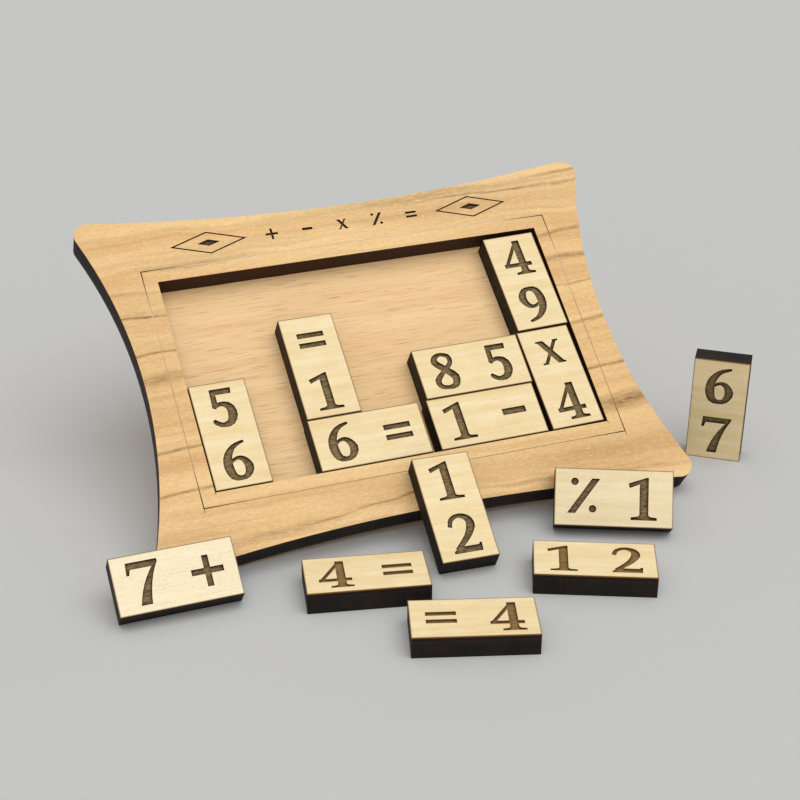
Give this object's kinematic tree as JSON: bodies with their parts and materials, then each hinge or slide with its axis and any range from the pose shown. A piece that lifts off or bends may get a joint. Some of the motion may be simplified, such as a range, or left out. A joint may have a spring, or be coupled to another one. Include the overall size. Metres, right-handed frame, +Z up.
{
  "type": "number tiling puzzle",
  "caption": "Shallow wooden tray with bowed-in sides and a rectangular window, tilted on a wedge, with domino tiles engraved with figures and signs lying in it and around it.",
  "frame": {"origin": "on the table under the middle of the whole arrangement's bounding box", "axes": "+X along the tray's long side to the reader's right, +Y away from the reader, +Z up from the table"},
  "size_m": [0.1876, 0.1478, 0.0654],
  "materials": {
    "charred_core": "laser-charred plywood edge",
    "maple_face": "sanded bare maple veneer with burnt-in signs",
    "cherry_face": "sanded fruitwood veneer, thin oil",
    "beech_floor": "sanded beech sheet",
    "pine_block": "sawn and sanded softwood"
  },
  "bodies": {
    "tray": {"base_board": "beech_floor", "frame_board": "charred_core", "frame_face": "cherry_face", "tilt_wedge": "pine_block"},
    "tile_5_6": {"tile_5_6_core": "charred_core", "tile_5_6_face": "maple_face"},
    "tile_6_equals": {"tile_6_equals_core": "charred_core", "tile_6_equals_face": "maple_face"},
    "tile_equals_1": {"tile_equals_1_core": "charred_core", "tile_equals_1_face": "maple_face"},
    "tile_1_minus": {"tile_1_minus_core": "charred_core", "tile_1_minus_face": "maple_face"},
    "tile_8_5": {"tile_8_5_core": "charred_core", "tile_8_5_face": "maple_face"},
    "tile_times_4": {"tile_times_4_core": "charred_core", "tile_times_4_face": "maple_face"},
    "tile_4_9": {"tile_4_9_core": "charred_core", "tile_4_9_face": "maple_face"},
    "tile_equals_4": {"tile_equals_4_core": "charred_core", "tile_equals_4_face": "maple_face"},
    "tile_4_equals": {"tile_4_equals_core": "charred_core", "tile_4_equals_face": "maple_face"},
    "tile_1_2_wide": {"tile_1_2_wide_core": "charred_core", "tile_1_2_wide_face": "maple_face"},
    "tile_6_7": {"tile_6_7_core": "charred_core", "tile_6_7_face": "maple_face"},
    "tile_1_2_tall": {"tile_1_2_tall_core": "charred_core", "tile_1_2_tall_face": "maple_face"},
    "tile_7_plus": {"tile_7_plus_core": "charred_core", "tile_7_plus_face": "maple_face"},
    "tile_divide_1": {"tile_divide_1_core": "charred_core", "tile_divide_1_face": "maple_face"}
  },
  "joints": [
    {"name": "lift_5_6", "type": "slide", "parent": "tray", "child": "tile_5_6", "axis": [0, -0.5505, 0.8348], "range_m": [0, 0.02]},
    {"name": "lift_6_equals", "type": "slide", "parent": "tray", "child": "tile_6_equals", "axis": [0, -0.5505, 0.8348], "range_m": [0, 0.02]},
    {"name": "lift_equals_1", "type": "slide", "parent": "tray", "child": "tile_equals_1", "axis": [0, -0.5505, 0.8348], "range_m": [0, 0.02]},
    {"name": "lift_1_minus", "type": "slide", "parent": "tray", "child": "tile_1_minus", "axis": [0, -0.5505, 0.8348], "range_m": [0, 0.02]},
    {"name": "lift_8_5", "type": "slide", "parent": "tray", "child": "tile_8_5", "axis": [0, -0.5505, 0.8348], "range_m": [0, 0.02]},
    {"name": "lift_times_4", "type": "slide", "parent": "tray", "child": "tile_times_4", "axis": [0, -0.5505, 0.8348], "range_m": [0, 0.02]},
    {"name": "lift_4_9", "type": "slide", "parent": "tray", "child": "tile_4_9", "axis": [0, -0.5505, 0.8348], "range_m": [0, 0.02]},
    {"name": "lift_equals_4", "type": "slide", "parent": "tray", "child": "tile_equals_4", "axis": [0, 0, 1], "range_m": [0, 0.02]},
    {"name": "lift_4_equals", "type": "slide", "parent": "tray", "child": "tile_4_equals", "axis": [0, 0, 1], "range_m": [0, 0.02]},
    {"name": "lift_1_2_wide", "type": "slide", "parent": "tray", "child": "tile_1_2_wide", "axis": [0, 0, 1], "range_m": [0, 0.02]},
    {"name": "lift_6_7", "type": "slide", "parent": "tray", "child": "tile_6_7", "axis": [0, 0, 1], "range_m": [0, 0.02]},
    {"name": "lift_1_2_tall", "type": "slide", "parent": "tray", "child": "tile_1_2_tall", "axis": [0, -0.5505, 0.8348], "range_m": [0, 0.02]},
    {"name": "lift_7_plus", "type": "slide", "parent": "tray", "child": "tile_7_plus", "axis": [0, -0.5505, 0.8348], "range_m": [0, 0.02]},
    {"name": "lift_divide_1", "type": "slide", "parent": "tray", "child": "tile_divide_1", "axis": [0, 0, 1], "range_m": [0, 0.02]}
  ]
}
